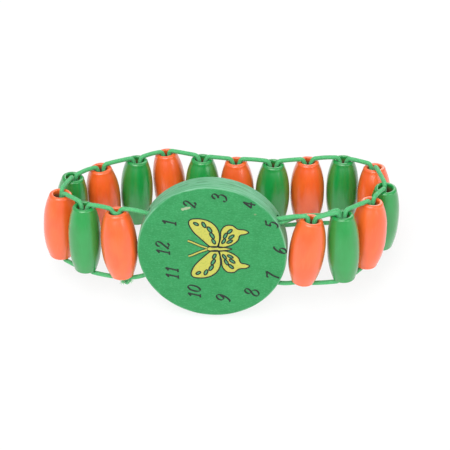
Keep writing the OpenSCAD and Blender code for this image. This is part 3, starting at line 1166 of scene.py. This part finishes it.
# %% The butterfly's shapes
FORE_WING = [
    (-0.5, 1.4), (-2.2, 3.2), (-4.3, 5.1), (-6.3, 6.0), (-7.4, 5.5), (-7.6, 3.6), (-7.1, 1.7),
    (-6.0, 0.3), (-4.4, -0.5), (-2.4, -0.6), (-0.5, -0.3),
]
HIND_WING = [
    (-0.5, -0.2), (-2.6, -0.8), (-4.6, -1.0), (-5.9, -2.0), (-6.0, -3.5), (-5.1, -4.7),
    (-4.9, -6.2), (-4.3, -7.0), (-3.8, -6.2), (-3.5, -5.1), (-2.2, -4.6), (-1.1, -3.3),
    (-0.5, -1.8),
]
BODY = [(0, 2.4), (-0.5, 1.8), (-0.62, 0.4), (-0.45, -1.4), (0, -3.2)]
FEELER = [(-0.2, 2.2), (-0.8, 3.8), (-1.6, 5.4), (-2.0, 6.4)]
SPOTS = [
    (-6.3, 4.4, 0.6, 0.3, -60), (-6.1, 2.7, 0.75, 0.34, -25), (-4.9, 1.5, 0.8, 0.36, -32),
    (-3.4, 1.0, 0.8, 0.36, -30), (-1.9, 0.7, 0.7, 0.32, -25), (-2.0, -1.5, 0.7, 0.3, 32),
    (-3.4, -1.9, 0.75, 0.32, 28), (-4.5, -2.9, 0.7, 0.32, 45), (-3.1, -3.2, 0.75, 0.32, 50),
    (-1.9, -2.8, 0.7, 0.3, 60),
]
SPOT_STEPS = 12
BUTTERFLY_UP = 0.9


def mirrored(points):
    return [(-x, y) for x, y in reversed(points)]


def closed(points):
    return points + [points[0]]


def oval(x, y, half_length, half_width, turn):
    turned = Matrix.Rotation(radians(turn), 2)
    angles = [2 * pi * k / SPOT_STEPS for k in range(SPOT_STEPS)]
    rim = [turned @ Vector((half_length * cos(a), half_width * sin(a))) for a in angles]
    return [(x + point.x, y + point.y) for point in rim]


def printed(points):
    return [on_print(x, y + BUTTERFLY_UP) for x, y in points]


half_wings = [FORE_WING, HIND_WING]
wings = half_wings + [mirrored(wing) for wing in half_wings]
body = BODY + mirrored(BODY)[1:-1]
half_spots = [oval(*spot) for spot in SPOTS]
spots = half_spots + [mirrored(spot) for spot in half_spots]
feelers = [FEELER, mirrored(FEELER)]
print("one half of the butterfly has", len(half_wings), "wings and", len(half_spots), "spots")

# %% Fill and outline it
FILL_STEP = 0.12
OUTLINE = 0.28
WING_HEIGHTS = (0.012, 0.014, 0.016, 0.018)
BODY_HEIGHT = 0.022
SPOT_HEIGHT = 0.026
FEELERS = (("edge", 0.72, 0.016, black_ink), ("middle", 0.36, 0.034, yellow_ink))


def fill_tree():
    tree, given = new_tree("fill", {"Step": "Float", "Material": "Material"})
    route = smooth_route(tree, given)
    finish_tree(tree, made(tree, "GeometryNodeFillCurve", {"Curve": route}), given)
    return tree


fill = fill_tree()


def filled_piece(name, outline, height, material):
    piece = host_of_loop(name, flat_points(outline))
    return onto_face(grown(piece, fill, Step=FILL_STEP, Material=material), height)


for index, (wing, height) in enumerate(zip(wings, WING_HEIGHTS)):
    filled_piece(f"butterfly_wing_{index + 1}", printed(wing), height, yellow_ink)
filled_piece("butterfly_body", printed(body), BODY_HEIGHT, yellow_ink)
for index, spot in enumerate(spots):
    filled_piece(f"butterfly_spot_{index + 1}", printed(spot), SPOT_HEIGHT, green_ink)
lines = [printed(closed(shape)) for shape in wings + [body] + spots]
pen_piece("butterfly_outline", lines, OUTLINE, OUTLINE, INK_HEIGHT, black_ink)
for name, width, height, ink in FEELERS:
    feeler_lines = [printed(line) for line in feelers]
    pen_piece(f"butterfly_feeler_{name}", feeler_lines, width, width, height, ink)
print("the butterfly has", len(wings), "wings and", len(spots), "spots")

# %% [markdown]
# ## The floor, the light and the camera
#
# A white floor gives the beads the pale reflection on their lower halves. Where the camera or a
# reflection sees it, it is lifted towards plain white, which leaves a soft shadow. An even sky and
# large soft lamps stand in for a light tent.

# %% Floor
FLOOR_HALF = 4.0
FLOOR_GREY = 0.95
SHADOW_SHARE = 0.2


def floor_material():
    material = bpy.data.materials.new("white_floor")
    tree = empty_tree(material)
    grey = (FLOOR_GREY, FLOOR_GREY, FLOOR_GREY, 1.0)
    paper = made(tree, "ShaderNodeBsdfDiffuse", {"Color": grey})
    white = made(tree, "ShaderNodeEmission", {"Color": (1.0, 1.0, 1.0, 1.0), "Strength": 1.0})
    path = put(tree, "ShaderNodeLightPath").outputs
    seen = path["Is Camera Ray"]
    for reflected in ("Is Glossy Ray", "Is Transmission Ray"):
        seen = maths(tree, "MAXIMUM", seen, path[reflected])
    shown = {0: product(tree, seen, 1 - SHADOW_SHARE), 1: paper, 2: white}
    put(tree, "ShaderNodeOutputMaterial", {"Surface": made(tree, "ShaderNodeMixShader", shown)})
    return material


signs = ((-1, -1), (1, -1), (1, 1), (-1, 1))
corners = [(x * FLOOR_HALF, y * FLOOR_HALF, 0) for x, y in signs]
floor = host("floor", corners, faces=[(0, 1, 2, 3)])
floor.data.materials.append(floor_material())
floor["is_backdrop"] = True

# %% World and lamps
SKY = (0.97, 0.985, 1.0, 1.0)
HORIZON_LIGHT = 0.55
OVERHEAD_LIGHT = 0.5
TENT_TOP = 0.6
LAMPS = {
    "top_lamp": ((-0.1, 0.0, 0.6), 0.45, 0.7),
    "high_front_lamp": ((-0.1, -0.36, 0.56), 0.6, 3.05),
    "right_lamp": ((0.5, -0.3, 0.35), 0.35, 0.8),
    "back_lamp": ((0.15, 0.55, 0.2), 0.4, 0.85),
}


def make_world():
    """A light tent: nearly even, and a little darker overhead."""
    world = bpy.data.worlds.new("light_tent")
    tree = empty_tree(world)
    way = put(tree, "ShaderNodeTexCoord").outputs["Generated"]
    height = parts_of(tree, way)["Z"]
    strength = ramp(tree, height, 0.0, TENT_TOP, HORIZON_LIGHT, OVERHEAD_LIGHT)
    tent = made(tree, "ShaderNodeBackground", {"Color": SKY, "Strength": strength})
    put(tree, "ShaderNodeOutputWorld", {"Surface": tent})
    bpy.context.scene.world = world


def lamp(name, place, size, power):
    """A round soft lamp that shines at the middle of the floor."""
    data = bpy.data.lights.new(name, "AREA")
    data.shape = "DISK"
    data.size = size
    data.energy = power
    light = in_scene(name, data)
    light.location = place
    light.rotation_euler = Vector(place).to_track_quat("Z", "Y").to_euler()


make_world()
for name, (place, size, power) in LAMPS.items():
    lamp(name, place, size, power)
print(len(LAMPS), "lamps of", sum(power for place, size, power in LAMPS.values()), "W in all")

# %% Camera
PHOTO_PX = 450
SENSOR_MM = 36.0
AZIMUTH, ELEVATION, ROLL = 5.83, 46.17, -2.12
DISTANCE = 0.37215
FOCAL_PX = 1626.1
AIM_HEIGHT = 0.010
AIM_RIGHT, AIM_UP = 0.00055, 0.0005


def make_camera():
    a, e, r = radians(AZIMUTH), radians(ELEVATION), radians(ROLL)
    back = Vector((sin(a) * cos(e), -cos(a) * cos(e), sin(e)))
    level = Vector((0, 0, 1)).cross(back).normalized()
    upright = back.cross(level)
    right = level * cos(r) + upright * sin(r)
    up = upright * cos(r) - level * sin(r)
    aim = Vector((0, 0, AIM_HEIGHT)) + right * AIM_RIGHT + up * AIM_UP
    data = bpy.data.cameras.new("camera")
    data.sensor_width = SENSOR_MM
    data.sensor_fit = "HORIZONTAL"
    data.lens = FOCAL_PX / PHOTO_PX * SENSOR_MM
    data.clip_start = 0.01
    camera = in_scene("camera", data)
    place = Matrix((right, up, back)).transposed().to_4x4()
    place.translation = aim + back * DISTANCE
    camera.matrix_world = place
    bpy.context.scene.camera = camera
    return camera


print("the lens is", round(make_camera().data.lens, 1), "mm")
bpy.context.scene.view_settings.view_transform = "Standard"

# %% [markdown]
# ## Measure the box
#
# The looks must not outgrow the model, so both boxes are measured and the move of each corner is printed.

# %% Print how far the box moved
seen_box = [list(corner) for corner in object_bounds()]
for name, seen, cad in zip(("low", "high"), seen_box, cad_box):
    print(name, "corner moved by", [round((s - c) / MM, 2) for s, c in zip(seen, cad)], "mm")
